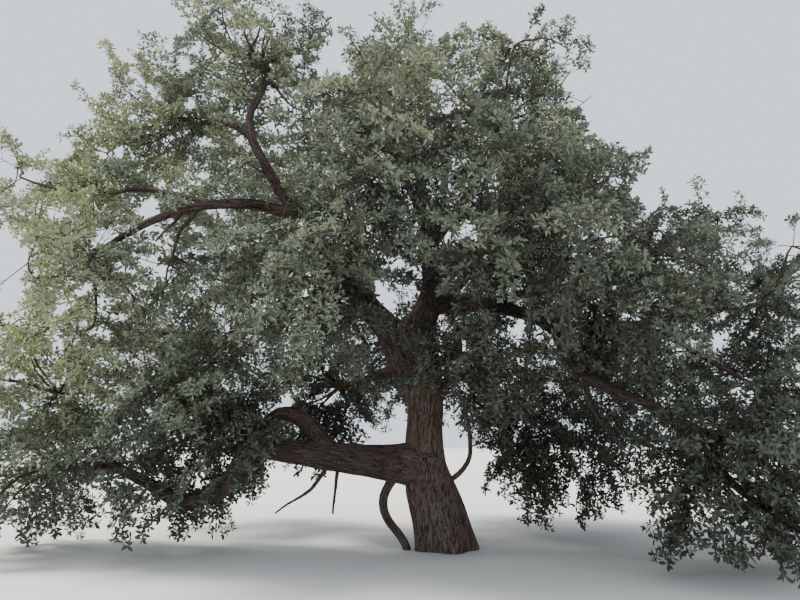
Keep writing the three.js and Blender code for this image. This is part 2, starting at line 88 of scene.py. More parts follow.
# Each bough: what it grows on and how far along, thickness at root and tip, then either its length
# with the headings and rises it passes through, or the mass it reaches for and its bow
boughs = [
    ("left_low", "trunk", 0.36, (0.64, 0.37), 3.45, [197, 203], [4, 10]),
    ("left_far", "left_low", 0.96, (0.35, 0.13), 4.1,
     [209, 175, 160, 160, 166, 168], [-66, -50, 14, 24, 14, -12]),
    ("left_lift", "left_far", 0.72, (0.15, 0.11), "left_low", -0.12),
    ("left_arch", "left_low", 0.56, (0.36, 0.2), "left_arch", 0.54),
    ("left_stub", "trunk", 0.8, (0.24, 0.17), "left_inner", 0.12),
    ("left_leader", "trunk", 0.91, (0.5, 0.32), 3.45, [210, 223], [40, 44]),
    ("left_reach", "left_leader", 0.98, (0.23, 0.105), 3.3,
     [202, 196, 202, 192, 165], [12, 4, -22, -24, -35]),
    ("left_rise", "left_leader", 0.97, (0.23, 0.12), 4.15, [187, 172, 150, 40, 110], [52, 60, 64, 70, 68]),
    ("upper_left", "left_rise", 0.5, (0.15, 0.1), "upper_left", 0.12),
    ("left_tip", "left_reach", 0.45, (0.13, 0.085), "left_tip", 0.15),
    ("left_side", "left_leader", 0.6, (0.19, 0.11), "left_mid", 0.16),
    ("centre", "trunk", 0.9, (0.56, 0.33), 2.9, [0, 0, 120, 170], [56, 72, 86, 88]),
    ("top_centre", "centre", 0.97, (0.3, 0.12), "top_centre", 0),
    ("top_right", "centre", 0.84, (0.26, 0.12), "top_right", -0.25),
    ("right_high", "centre", 0.62, (0.23, 0.12), "right_high", -0.2),
    ("right_long", "centre", 0.34, (0.28, 0.22), 2.9, [350, 336, 320], [4, -12, -42]),
    ("right_drop", "right_long", 0.97, (0.24, 0.14), 3.05,
     [300, 312, 330, 334, 338], [-80, -46, -26, -26, -70]),
    ("right_end", "right_drop", 0.84, (0.15, 0.09), "right_foot", 0.12),
    ("right_shoulder", "right_long", 0.5, (0.19, 0.11), "right_shoulder", 0.2),
    ("far_right", "right_long", 0.88, (0.2, 0.12), "far_right", -0.15),
    ("right_front", "right_long", 0.4, (0.17, 0.1), "right_mid", 0.15),
    ("right_edge", "far_right", 0.4, (0.13, 0.09), "right_edge", 0.15),
    ("right_inner", "trunk", 0.56, (0.3, 0.15), "right_inner", 0.9),
    ("front", "centre", 0.72, (0.23, 0.12), "front", -0.2),
    ("front_right", "centre", 0.47, (0.24, 0.12), "front_right", 0.12),
    ("front_left", "left_leader", 0.36, (0.22, 0.12), "front_left", 0.08),
    ("back_left", "trunk", 0.95, (0.4, 0.15), "back_left_high", 0.26),
    ("back_left_low", "back_left", 0.3, (0.23, 0.13), "back_left_low", 0.42),
    ("back_right", "centre", 0.28, (0.36, 0.15), "back_right_high", -0.3),
    ("back_right_low", "back_right", 0.28, (0.23, 0.13), "back_right_low", 0.45),
    ("back_low", "trunk", 0.84, (0.33, 0.15), "back_low", 0.26),
]

# Small bare limbs that only show here: a loop by the foot, shoots that hang, lean or rise, and
# crooked twigs high on the left
suckers = [
    ("left_loop", "left_low", 0.12, (0.19, 0.15), 1.95, [188, 188], [-42, -52, -66, -108, -132, -122, -100]),
    ("left_hang", "left_low", 0.5, (0.09, 0.05), 1, [200, 250, 200], [-85, -80, -86]),
    ("left_slant", "left_low", 0.5, (0.1, 0.045), 1.5, [190, 200, 190], [-30, -62, -24, -40]),
    ("left_drop", "left_low", 0.93, (0.08, 0.04), 0.95, [200, 190], [-88, -84]),
    ("left_crook", "left_rise", 0.97, (0.12, 0.05), 1.35, [180, 180], [20, 35, 78, 112, 118, 80]),
    ("left_cross", "left_rise", 0.93, (0.09, 0.045), 1.05, [0, 0], [-6, -14, 2, 30]),
    ("left_bow", "left_rise", 0.9, (0.09, 0.045), 1.15, [0, 0], [-16, -58, -46, -12]),
    ("left_dangle", "left_reach", 0.55, (0.09, 0.045), 1.5, [200, 200], [-72, -56, -88, -74, -98]),
    ("left_prong", "left_reach", 0.63, (0.08, 0.045), 0.7, [190, 190], [-70, -48, -62]),
    ("right_shoot", "trunk", 0.25, (0.12, 0.07), 2.3, [0, 0, 0], [24, 30, 48, 88, 94, 108, 124]),
    ("right_slant", "right_inner", 0.6, (0.1, 0.05), 1.8,
     [320, 300, 320, 320, 330], [-80, -85, -38, -65, -50]),
    ("right_hang", "right_drop", 0.3, (0.11, 0.05), 1.6, [300, 320, 330], [-88, -75, -50, -70]),
    ("right_rise", "right_drop", 0.7, (0.12, 0.08), 1.6, [0, 0, 0], [80, 92, 90]),
    ("right_low", "right_end", 0.12, (0.15, 0.1), 2.6, [345, 350, 340, 350], [-52, -62, -40, -34, -40]),
]

# Each mass: what carries it, its middle, its full width, depth and height, how full its foliage is
# and how strongly its sprays hang
masses = [
    ("top_left", "left_rise", (-4.15, -0.15, 10.45), (3.9, 3.5, 3), 0.8, 0),
    ("upper_left", "upper_left", (-6.2, 0.2, 9.15), (3.4, 3.5, 3.2), 1.25, 0),
    ("left_tip", "left_tip", (-7.85, -0.2, 7.15), (3.3, 3.5, 3), 0.9, 0.1),
    ("left_reach", "left_reach", (-6.8, -1.9, 4.8), (3.4, 3.3, 3), 1.05, 0.35),
    ("left_mid", "left_side", (-4.9, -0.3, 4.9), (3.4, 3.3, 2.9), 1.05, 0.25),
    ("left_low", "left_lift", (-8.1, 0, 3.35), (3.6, 3.5, 2.9), 1.1, 0.4),
    ("left_bottom", "left_far", (-7.8, -0.4, 1.5), (3.4, 3.6, 2.8), 1, 0.4),
    ("left_arch", "left_arch", (-4.95, -0.7, 2.55), (3.5, 3.4, 3.4), 1.4, 0.5),
    ("left_inner", "left_stub", (-2.7, 1.2, 3), (2.7, 2.8, 2.4), 1.4, 0.4),
    ("front_left", "front_left", (-2.35, -2.6, 4.85), (3.5, 3.3, 3), 1.35, 0.35),
    ("front_low", "trunk", (0.45, -1.9, 3.5), (2.9, 2.1, 1.9), 1.4, 0.4),
    ("front", "front", (-0.95, -3, 7), (3.9, 3.6, 3.7), 1.35, 0.3),
    ("front_right", "front_right", (1.25, -2.8, 5.5), (3.7, 3.5, 3.2), 1.55, 0.45),
    ("top_centre", "top_centre", (-0.85, 0.4, 9.85), (4, 4, 3.5), 1.1, 0),
    ("top_right", "top_right", (1.95, 0.3, 9.7), (3.3, 3.6, 3.4), 1.1, 0),
    ("right_high", "right_high", (3, 0, 7.95), (3.3, 3.5, 3.3), 1.1, 0.1),
    ("right_shoulder", "right_shoulder", (5, 0.3, 5.9), (3.6, 3.5, 2.9), 1.1, 0.2),
    ("right_mid", "right_front", (3.1, -2.1, 4.6), (3.3, 3.2, 2.8), 1.25, 0.4),
    ("far_right", "far_right", (7.2, -0.2, 4.7), (3.9, 3.8, 3.2), 1.1, 0.3),
    ("right_inner", "right_inner", (2.6, 1.7, 2.5), (3.7, 3.3, 3.2), 1.8, 0.6),
    ("right_drop", "right_drop", (4.15, -2.7, 1.5), (3, 3, 2.5), 1.55, 0.4),
    ("right_edge", "right_edge", (6.9, -0.6, 2.5), (3.6, 3.5, 2.9), 1.15, 0.4),
    ("right_foot", "right_end", (6.2, -2, 0.86), (2.4, 2.4, 1.5), 0.9, 0.4),
    ("back_left_high", "back_left", (-4.4, 3.2, 8), (4.7, 4.7, 4.3), 0.85, 0.1),
    ("back_right_high", "back_right", (2.1, 3.2, 8.2), (4.9, 4.7, 4.4), 0.85, 0.1),
    ("back_low", "back_low", (-1, 4.4, 4.9), (4.8, 4, 3.9), 0.9, 0.5),
    ("back_left_low", "back_left_low", (-6.4, 3.4, 4), (4.6, 4.2, 3.7), 0.85, 0.4),
    ("back_right_low", "back_right_low", (5.1, 3.4, 3.9), (4.7, 4.2, 3.8), 1, 0.5),
]

# Leafy shoots straight from a bough: the mass they count to, from and to as shares of the way
# along, and how many
boughSprays = {
    "front_left": ("left_leader", 0.3, 1, 24),
    "front": ("centre", 0.4, 1, 14),
    "front_low": ("trunk", 0.7, 0.94, 18),
    "left_tip": ("left_tip", 0.1, 0.9, 12),
    "left_reach": ("left_reach", 0.05, 0.6, 6),
    "top_left": ("left_rise", 0.1, 0.9, 22),
    "right_mid": ("right_front", 0.1, 0.9, 8),
    "far_right": ("far_right", 0.1, 0.9, 10),
    "left_mid": ("left_arch", 0.5, 0.95, 8),
    "left_arch": ("left_far", 0, 0.5, 18),
    "left_bottom": ("left_low", 0.78, 1, 10),
    "right_drop": ("right_drop", 0.05, 0.8, 14),
    "right_inner": ("right_inner", 0.25, 0.95, 16),
    "right_foot": ("right_end", 0.1, 0.9, 8),
}

# What stays open from the front, as the photo shows: stretches of bough that hardly a leaf hides, as
# shares of the way along, and gaps in the crown, each a place on the trunk's plane (across, up) and
# a half width there
openBoughs = [
    ("right_long", 0.02, 0.64),
    ("right_drop", 0.22, 0.72),
    ("right_low", 0.1, 1),
    ("left_reach", 0.05, 0.44),
    ("left_reach", 0.6, 0.85),
    ("left_crook", 0, 0.85),
    ("left_dangle", 0, 0.6),
    ("left_rise", 0.05, 0.85),
    ("left_low", 0, 0.8),
    ("left_arch", 0, 0.7),
    ("left_far", 0.58, 0.9),
    ("left_stub", 0.1, 0.6),
    ("trunk", 0, 0.62),
]
crownGaps = [
    (-1.18, 4.87, 0.19), (-1.26, 5.12, 0.14), (-1.08, 4.65, 0.14), (-0.05, 4.42, 0.08),
    (0.39, 4.99, 0.08), (0.57, 6.37, 0.15), (0.77, 6.13, 0.11), (0.4, 6.17, 0.11), (5.54, 3.91, 0.16),
    (-6.2, 6.87, 0.19), (-6.33, 6.71, 0.13), (-7.07, 6.13, 0.19), (-7.25, 6.04, 0.13),
    (-7.38, 4.99, 0.14), (-7.22, 5.08, 0.1), (-4.35, 4.17, 0.1), (-4.89, 5.14, 0.1), (-9.12, 5.6, 0.36),
    (-8.86, 4.99, 0.27), (-9.24, 6.13, 0.21), (-2.47, 10.55, 0.23), (-2.62, 10.14, 0.18),
    (-2.29, 10.87, 0.21), (-3.7, 9.53, 0.13), (-4.12, 11.08, 0.12), (3.77, 9.78, 0.29),
    (-3.17, 10.4, 0.14), (-6.98, 8.16, 0.11), (-8.09, 6.64, 0.13), (-6.75, 8.93, 0.11),
    (-5.53, 9.25, 0.13), (-2.09, 10.09, 0.14), (-0.43, 11.29, 0.16), (4.63, 7.1, 0.17),
    (-8.98, 8.4, 0.11), (3.18, 9.81, 0.32), (-1.71, 11.37, 0.32), (7.31, 6.1, 0.3), (3.81, 8.71, 0.31),
    (1.9, 11.3, 0.3), (4.47, 7.28, 0.3), (-7.73, 9.91, 0.32), (6.07, 7.01, 0.28), (-9.28, 8.81, 0.31),
    (0.05, 11.4, 0.32), (4.14, 9.4, 0.31), (-8.58, 8.81, 0.31), (-7.98, 9.01, 0.24),
    (-6.15, 11.37, 0.32), (5.15, 7.19, 0.28), (-9.49, 7.85, 0.24), (4.87, 7.85, 0.3),
    (1.45, 11.5, 0.26), (-3.4, 9.3, 0.15),
]
viewpoint = {"place": (-0.85, -12, 1.9), "tilt": 13.5, "lens": 27, "film": 36, "far": 600}

# The rule by which every mass grows, as in the solids, and how much finer it goes here. What
# isn't a share or a count is in metres, and thicknesses are half thicknesses.
growth = {
    "seed": 4711,
    "seedStep": 101,
    "space": 0.06,  # between neighbouring masses
    "ground": 0.09,  # no twig tip lies below this height
    "enter": 0.86,  # a bough reaches its mass at this share of the outline
    "stemReach": 0.45,  # of the way on to the middle
    "stemThick": 0.88,  # of the bough's tip
    "stemOnTrunk": 0.066,  # half thickness where the mass grows on the trunk itself
    "onTrunkAt": 0.8,
    "stemSunk": 0.06,
    "areaPerLeaf": 1.7,  # square metres of the outline for each leaf of the solids
    "leavesPerTip": 5,
    "shell": (0.35, 0.75),  # twig tips lie between these shares of the outline
    "choices": 10,  # places tried for each tip: the one with most room is taken
    "wayBack": 0.35,  # how much the way back to the stem counts beside the distance
    "firstTwig": 0.8,  # half thickness after the stem's end, as a share of the stem's
    "twigTip": 0.014,
    "twigFork": 0.6,  # a side twig starts this much thinner, and a tip ends so
    "crook": 0.11,  # how far a twig strays aside between two forks, as a share of that stretch
    "crookRise": 60,
    "twigStep": 0.2,
    "sides": (6, 4, 0.03),  # of thick twigs, of thin ones, and the half thickness between them
    "firstSide": (0.3, 1, 0.2),  # where a twig's rings begin
    "pointed": 2,  # half thicknesses that it runs on past its last ring
    "room": 0.08,  # twigs keep so far from the boughs' skin
    "finerTips": 2.5,  # twig tips here for each one of the solids, added to them
    "finerShell": (0.3, 0.82),
    "sprays": 1.92,  # sprays here for each leaf of the solids
    "spill": 1.14,  # sprays may leave the rounded outline so far, and the walls between masses by:
    "overlap": 0.12,
    "skirt": 1.3,  # times how strongly a mass hangs: how much deeper its sprays reach below
    "sprayGround": 0.18,  # no spray's tip lies below this height
    "testedAt": (0.3, 0.5, 0.7),  # shares of a twig's way that are tested against the gaps
    "leftOut": 0.93,  # share of the leaves before an open stretch that don't grow
}


def along(values, share):
    place = min(share, 1) * (len(values) - 1)
    before = min(int(place), len(values) - 2)
    return values[before] + (values[before + 1] - values[before]) * (place - before)


def pointOn(points, share):
    place = share * (len(points) - 1)
    before = min(int(place), len(points) - 2)
    return points[before].lerp(points[before + 1], place - before)


def direction(heading, rise):
    h, r = math.radians(heading), math.radians(rise)
    return Vector((math.cos(h) * math.cos(r), math.sin(h) * math.cos(r), math.sin(r)))


def seeded(seed):
    # The solids' generator, so that both grow the same twigs
    times, within = 16807, 2147483647
    state = seed
    while True:
        state = state * times % within
        yield state / within


def entryOf(middle, half, start):
    way = start - middle
    share = growth["enter"] / Vector((way[i] / half[i] for i in range(3))).length
    return middle + way * min(share, 1)


def courseOf(start, length, headings, rises, step):
    points = [start]
    steps = round(length / step)
    for i in range(steps):
        share = (i + 0.5) / steps
        points.append(points[-1] + direction(along(headings, share), along(rises, share)) * (length / steps))
    return points


def reachOf(start, mass, bow, bendTo):
    way = entryOf(Vector(mass[2]), Vector(mass[3]) / 2, start) - start
    aside = way.cross(up).normalized()
    steps = max(round(way.length / limbRule["step"]), limbRule["fewest"])
    points = [start]
    for step in range(1, steps + 1):
        share = step / steps
        bend = bendTo * limbRule["bend"] * way.length * math.sin(2 * math.pi * share)
        points.append(start + way * share + aside * bend + up * (bow * 4 * share * (1 - share)))
    return points


def layLimbs():
    # Axis and half thickness of every limb, from the same sizes as the solids
    limbs = {}
    points, radii = [], []
    for row in range(trunk["rows"] + 1):
        share = row / trunk["rows"]
        points.append(Vector((-along(trunk["aside"], share), 0, trunk["height"] * share)))
        radii.append(along(trunk["widths"], share) / 2)
    limbs["trunk"] = (points, radii)
    for index, bough in enumerate(boughs + suckers):
        name, base, at, thick = bough[:4]
        start = pointOn(limbs[base][0], at)
        if isinstance(bough[4], str):
            mass = next(m for m in masses if m[0] == bough[4])
            points = reachOf(start, mass, bough[5], 1 if index % 2 else -1)
        else:
            points = courseOf(start, *bough[4:], limbRule["step" if bough in boughs else "suckerStep"])
        radii = [along(thick, i / (len(points) - 1)) / 2 for i in range(len(points))]
        limbs[name] = (points, radii)
    return limbs


limbs = layLimbs()
solidLimbs = ["trunk"] + [bough[0] for bough in boughs]
print("limbs laid:", len(limbs))


# Bark

barkLook = {
    "thick": ["trunk", "left_low", "left_leader", "centre", "right_long"],
    "thickVoxel": 0.0155,
    "thinVoxel": 0.024,
    "knotStep": 0.15,  # between the knots of a limb's tube
    "roundness": 6,
    "collar": 0.3,  # a bough swells by this share where it leaves its limb
    "collarLength": 1.3,  # in half thicknesses
    "smooth": (0.5, 6),  # how strongly, how often
    "furrowApart": 0.038,  # on a limb of full half thickness, closer on thinner ones
    "fullSize": 0.3,
    "closest": 0.45,
    "furrowLong": 0.8,
    "furrowWide": 0.17,
    "furrowDeep": 0.024,
    "deepSize": 0.32,  # the relief is shallower on limbs of less than this half thickness
    "shallowest": 0.1,
    "ridgeHigh": 0.35,  # how far the ridges stand out, for a furrow of 1
    "fine": {"often": (2.1, 2.1, 3.3), "aside": 17, "strength": 0.25},
    "lumps": {"often": (2.4, 2.4, 1.3), "high": 0.024},
    "shadeFrom": 0.5,  # boughs reach their full painted shade so far from the trunk
    "trunkRoom": 1.1,  # times the trunk's half thickness, where that distance starts
    "twist": 0.3,  # how fast the furrows turn round the limb, radians per metre
    "newFurrows": 7,  # metres: each next limb starts so far along the furrows' pattern
    "sample": 0.06,
    "chunk": 20000,  # points compared at once
}


def selectOnly(*pieces):
    bpy.ops.object.select_all(action="DESELECT")
    for piece in pieces:
        piece.select_set(True)
        bpy.context.view_layer.objects.active = piece


def smoothPath(points, values, step):
    # Points at short equal steps on a smooth curve through a limb's points
    path, sizes = [], []
    last = len(points) - 1
    for i in range(last):
        a, b = points[max(i - 1, 0)], points[i]
        c, d = points[i + 1], points[min(i + 2, last)]
        pieces = max(round((c - b).length / step), 1)
        for k in range(pieces + (i == last - 1)):
            t = k / pieces
            path.append(0.5 * ((2 * b) + (c - a) * t + (2 * a - 5 * b + 4 * c - d) * t * t
                               + (3 * b - a - 3 * c + d) * t ** 3))
            sizes.append(values[i] + (values[i + 1] - values[i]) * t)
    return path, sizes


def addLimbMesh(name):
    points, radii = limbs[name]
    path, sizes = smoothPath(points, radii, barkLook["knotStep"])
    if name == "trunk":
        path.insert(0, path[0] - up * trunk["below"])
        sizes.insert(0, sizes[0])
    else:
        way = 0
        for i in range(len(path)):
            way += (path[i] - path[i - 1]).length if i else 0
            swell = math.exp(-max(way - sizes[0], 0) / (sizes[0] * barkLook["collarLength"]))
            sizes[i] *= 1 + barkLook["collar"] * swell
    selectOnly()
    bpy.ops.curve.primitive_bezier_curve_add(location=(0, 0, 0))
    tube = bpy.context.active_object
    spline = tube.data.splines[0]
    spline.bezier_points.add(len(path) - 2)
    for knot, place, size in zip(spline.bezier_points, path, sizes):
        knot.co = place
        knot.handle_left_type = knot.handle_right_type = "AUTO"
        knot.radius = size
    tube.data.resolution_u = 1
    tube.data.bevel_depth = 1
    tube.data.bevel_resolution = barkLook["roundness"]
    tube.data.use_fill_caps = True
    bpy.ops.object.convert(target="MESH")
    return bpy.context.active_object


def applyModifier(piece, kind, **settings):
    modifier = piece.modifiers.new(kind.lower(), kind)
    for key, value in settings.items():
        setattr(modifier, key, value)
    bpy.context.view_layer.objects.active = piece
    bpy.ops.object.modifier_apply(modifier=modifier.name)


def limbSamples(names):
    # Close points on every limb's axis, each with its frame, half thickness and way along
    places, frames, sizes, ways, owners = [], [], [], [], []
    for owner, name in enumerate(names):
        path, radii = smoothPath(*limbs[name], barkLook["sample"])
        side, way = Vector((0, 1, 0)), owner * barkLook["newFurrows"]
        for i, place in enumerate(path):
            ahead = (path[min(i + 1, len(path) - 1)] - path[max(i - 1, 0)]).normalized()
            side = (side - ahead * side.dot(ahead)).normalized()
            way += (place - path[i - 1]).length if i else 0
            places.append(place)
            frames.append((ahead, side, side.cross(ahead)))
            sizes.append(radii[i])
            ways.append(way)
            owners.append(owner)
    return np.array(places), np.array(frames), np.array(sizes), np.array(ways), np.array(owners)


def nearestSamples(points, places, sizes):
    # For each point, the sample of the limb whose surface is nearest
    found = np.empty(len(points), int)
    for low in range(0, len(points), barkLook["chunk"]):
        part = points[low:low + barkLook["chunk"]]
        apart = (part ** 2).sum(1)[:, None] + (places ** 2).sum(1)[None] - 2 * part @ places.T
        found[low:low + barkLook["chunk"]] = (np.sqrt(np.maximum(apart, 0)) - sizes[None]).argmin(1)
    return found


def readArray(items, key, wide=1, kind=float):
    values = np.empty(len(items) * wide, kind)
    items.foreach_get(key, values)
    return values.reshape(-1, wide) if wide > 1 else values


def carveBark(piece, names):
    # Pushes the skin in along furrows that follow each limb, and keeps what the material needs
    mesh = piece.data
    look, fineLook, lumpLook = barkLook, barkLook["fine"], barkLook["lumps"]
    points, normals = readArray(mesh.vertices, "co", 3), readArray(mesh.vertex_normals, "vector", 3)
    places, frames, sizes, ways, owners = limbSamples(names)
    near = nearestSamples(points, places, sizes)
    off = points - places[near]
    lengthwise = (off * frames[near, 0]).sum(1)
    side = (off * frames[near, 1]).sum(1)
    other = (off * frames[near, 2]).sum(1)
    way = ways[near] + lengthwise
    size = sizes[near]
    turn = np.arctan2(other, side) + look["twist"] * way
    radius = np.hypot(side, other)
    apart = look["furrowApart"] * np.clip(size / look["fullSize"], look["closest"], 1) ** 0.5
    local = np.stack([radius * np.cos(turn) / apart, radius * np.sin(turn) / apart,
                      way / look["furrowLong"]], axis=1)
    coarse = np.array([noise.noise(p) for p in local])
    fine = np.array([noise.noise(p) for p in local * fineLook["often"] + fineLook["aside"]])
    lumps = np.array([noise.noise(p) for p in points * lumpLook["often"]])
    line = np.abs(coarse + fineLook["strength"] * fine)
    furrow = np.clip(1 - line / look["furrowWide"], 0, 1)
    furrow = furrow * furrow * (3 - 2 * furrow)
    share = np.clip(size / look["deepSize"], look["shallowest"], 1)
    push = look["furrowDeep"] * share * (look["ridgeHigh"] - furrow + fineLook["strength"] * fine)
    push = push + lumpLook["high"] * share * lumps
    if "trunk" in names:
        onTrunk = owners[near] == names.index("trunk")
        flare = trunk["flare"]
        angle = np.arctan2(points[:, 1], points[:, 0] - places[near, 0])
        ridge = np.cos(flare["ridges"] * angle + flare["turn"]) * np.exp(-points[:, 2] / flare["height"])
        push += onTrunk * flare["depth"] * size * ridge
    trunkPlaces, _, trunkSizes, _, _ = limbSamples(["trunk"])
    nearTrunk = nearestSamples(points, trunkPlaces, trunkSizes)
    away = np.linalg.norm(points - trunkPlaces[nearTrunk], axis=1)
    away = away - trunkSizes[nearTrunk] * look["trunkRoom"]
    points += normals * push[:, None]
    mesh.vertices.foreach_set("co", points.ravel())
    mesh.update()
    limbPlace = local * (apart[:, None] ** [1, 1, 0]) * (1, 1, look["furrowLong"])
    for name, kind, value, values in (("furrow", "FLOAT", "value", furrow),
                                      ("paintedBoughShade", "FLOAT", "value", np.clip(away / look["shadeFrom"], 0, 1)),
                                      ("limbPlace", "FLOAT_VECTOR", "vector", limbPlace.ravel())):
        mesh.attributes.new(name, kind, "POINT").data.foreach_set(value, values)
    return owners[near]


def makeSkin(names, voxel):
    made = [addLimbMesh(name) for name in names]
    selectOnly(*made)
    bpy.context.view_layer.objects.active = made[0]
    bpy.ops.object.join()
    skin = bpy.context.active_object
    applyModifier(skin, "REMESH", mode="VOXEL", voxel_size=voxel)
    factor, times = barkLook["smooth"]
    applyModifier(skin, "SMOOTH", factor=factor, iterations=times)
    bpy.ops.object.shade_smooth()
    return skin, carveBark(skin, names)


def separateFaces(skin, chosen, name):
    # Moves the chosen vertices' faces into a piece of their own
    mesh = skin.data
    selectOnly(skin)
    corners = readArray(mesh.loops, "vertex_index", kind=int)
    starts = readArray(mesh.polygons, "loop_start", kind=int)
    for items in (mesh.vertices, mesh.edges):
        items.foreach_set("select", np.zeros(len(items), bool))
    mesh.polygons.foreach_set("select", chosen[corners[starts]])
    bpy.ops.object.mode_set(mode="EDIT")
    bpy.ops.mesh.select_mode(type="FACE")
    bpy.ops.mesh.separate(type="SELECTED")
    bpy.ops.object.mode_set(mode="OBJECT")
    part = next(o for o in bpy.context.selected_objects if o != skin)
    part.name = name
    return part


def cutLevel(piece):
    # The flat cut at the ground
    selectOnly(piece)
    bpy.ops.object.mode_set(mode="EDIT")
    bpy.ops.mesh.select_all(action="SELECT")
    bpy.ops.mesh.bisect(plane_co=(0, 0, 0), plane_no=(0, 0, 1), use_fill=True, clear_inner=True)
    bpy.ops.object.mode_set(mode="OBJECT")


def toLinear(hexColour):
    values = [int(hexColour[i:i + 2], 16) / 255 for i in (1, 3, 5)]
    return (*(v / 12.92 if v <= 0.04045 else ((v + 0.055) / 1.055) ** 2.4 for v in values), 1)


def newMaterial(name, settings):
    material = bpy.data.materials.new(name)
    material.use_nodes = True
    for key, value in settings.items():
        material.node_tree.nodes["Principled BSDF"].inputs[key].default_value = value
    return material


def addNode(tree, kind, settings, output=0):
    # Sets the node's own values and its inputs, each to a value or to what feeds it. Gives an output.
    node = tree.nodes.new("ShaderNode" + kind)
    for key, value in settings.items():
        if isinstance(value, bpy.types.NodeSocket):
            tree.links.new(value, node.inputs[key])
        elif isinstance(key, str) and hasattr(node, key):
            setattr(node, key, value)
        else:
            node.inputs[key].default_value = value
    return node.outputs[output]


def addMath(tree, operation, *values):
    return addNode(tree, "Math", {"operation": operation, **dict(enumerate(values))})


def addRange(tree, value, start, end, low, high):
    return addNode(tree, "MapRange", {"Value": value, "From Min": start, "From Max": end,
                                      "To Min": low, "To Max": high})


def addNoise(tree, place, scale, detail, roughness):
    return addNode(tree, "TexNoise", {"Vector": place, "Scale": scale, "Detail": detail,
                                      "Roughness": roughness})


def addMix(tree, share, under, over, blend="MIX"):
    return addNode(tree, "Mix", {"data_type": "RGBA", "blend_type": blend,
                                 0: share, 6: under, 7: toLinear(over)}, 2)


def addRamp(tree, value, stops):
    node = tree.nodes.new("ShaderNodeValToRGB")
    tree.links.new(value, node.inputs["Fac"])
    ramp = node.color_ramp
    while len(ramp.elements) < len(stops):
        ramp.elements.new(0.5)
    for element, (place, colour) in zip(ramp.elements, stops):
        element.position = place
        element.color = toLinear(colour)
    return node.outputs["Color"]


def dress(tree, colour, height, strength, distance):
    # Gives the shader its colour, and its relief from a height, in metres for each 1 of it
    bump = addNode(tree, "Bump", {"Strength": strength, "Distance": distance, "Height": height})
    shader = tree.nodes["Principled BSDF"]
    tree.links.new(colour, shader.inputs["Base Color"])
    tree.links.new(bump, shader.inputs["Normal"])


# A noise is its scale, detail and roughness, a range what it goes from and to and what that becomes,
# and a relief its strength and metres
barkSkin = {
    "stretch": 0.13,  # of the cracks and the grain, along the limb
    "plates": (30, 4, 0.6),  # cracks between bark plates lie about 30 mm apart
    "grain": (120, 3, 0.6),  # the cork's, about 8 mm
    "patches": (1.6, 4, 0.6),  # about 0.6 m wide, rusty or worn grey
    "crack": (0, 0.07, 0.55, 0),  # from the plates' middle value outwards
    "furrowDepth": 0.75,  # beside a crack's
    "speckle": (0.5, -0.25),  # the grain, times and plus
    "tones": [(0, "#6f615a"), (0.4, "#50433e"), (1, "#191413")],  # ridge, slope and furrow; the furrow's near black is partly painted shade
    "rusty": ((0.45, 0.7, 0, 0.5), "#5f473f"),
    "worn": ((0.5, 0.25, 0, 0.45), "#68635f"),
    "bough": "#cdced2",  # times the rest: painted shade, the boughs darker than the trunk as if under the crown
    "relief": (0.8, 0.015),
}


def makeBarkMaterial():
    # Living oak bark: corky ridges, weathered grey brown, over dark furrows whose near black is partly
    # painted shade. The boughs carry painted shade too. It is dull all over.
    material = newMaterial("furrowedBark", {"Roughness": 0.92, "Specular IOR Level": 0.25})
    tree = material.node_tree
    furrow = addNode(tree, "Attribute", {"attribute_name": "furrow"}, "Fac")
    paintedBoughShade = addNode(tree, "Attribute", {"attribute_name": "paintedBoughShade"}, "Fac")
    limbPlace = addNode(tree, "Attribute", {"attribute_name": "limbPlace"}, "Vector")
    stretched = addNode(tree, "Mapping", {"Scale": (1, 1, barkSkin["stretch"]), "Vector": limbPlace})
    plates = addNoise(tree, stretched, *barkSkin["plates"])
    grain = addNoise(tree, stretched, *barkSkin["grain"])
    patches = addNoise(tree, addNode(tree, "TexCoord", {}, "Object"), *barkSkin["patches"])
    # A crack is where the plates' noise passes its middle value
    away = addMath(tree, "ABSOLUTE", addMath(tree, "SUBTRACT", plates, 0.5))
    depth = addMath(tree, "ADD", addRange(tree, away, *barkSkin["crack"]),
                    addMath(tree, "MULTIPLY", furrow, barkSkin["furrowDepth"]))
    depth = addMath(tree, "ADD", depth, addMath(tree, "MULTIPLY_ADD", grain, *barkSkin["speckle"]))
    # The deeper, the darker: partly the bark's own colour, partly painted shade in furrows and cracks
    tone = addRamp(tree, depth, barkSkin["tones"])
    for patch, colour in (barkSkin["rusty"], barkSkin["worn"]):
        tone = addMix(tree, addRange(tree, patches, *patch), tone, colour)
    # Painted shade: the boughs darken away from the trunk
    tone = addMix(tree, paintedBoughShade, tone, barkSkin["bough"], "MULTIPLY")
    dress(tree, tone, addMath(tree, "MULTIPLY", depth, -1), *barkSkin["relief"])
    return material


barkMaterial = makeBarkMaterial()
thickSkin, thickOwners = makeSkin(barkLook["thick"], barkLook["thickVoxel"])
thinNames = [name for name in limbs if name not in barkLook["thick"]]
thinSkin, thinOwners = makeSkin(thinNames, barkLook["thinVoxel"])
leftNames = [n for n in thinNames if n.startswith(("left", "upper", "back_left", "front_left"))]
boughSkin = separateFaces(thickSkin, thickOwners > 0, "big_boughs_bark")
thickSkin.name = "trunk_bark"
onLeft = np.isin(thinOwners, [thinNames.index(n) for n in leftNames])
leftSkin = separateFaces(thinSkin, onLeft, "left_boughs_bark")
thinSkin.name = "right_boughs_bark"
for piece in (thickSkin, leftSkin):
    cutLevel(piece)
barkPieces = {
    thickSkin: ["trunk"],
    boughSkin: ["bough_" + n for n in barkLook["thick"][1:]],
    leftSkin: ["bough_" + n for n in leftNames if n in solidLimbs],
    thinSkin: ["bough_" + n for n in thinNames if n in solidLimbs and n not in leftNames],
}
for piece, nodes in barkPieces.items():
    piece.data.materials.clear()
    piece.data.materials.append(barkMaterial)
    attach(piece, "root")
    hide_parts(*nodes)
    print("bark", piece.name, len(piece.data.polygons))


# Twigs and leaves

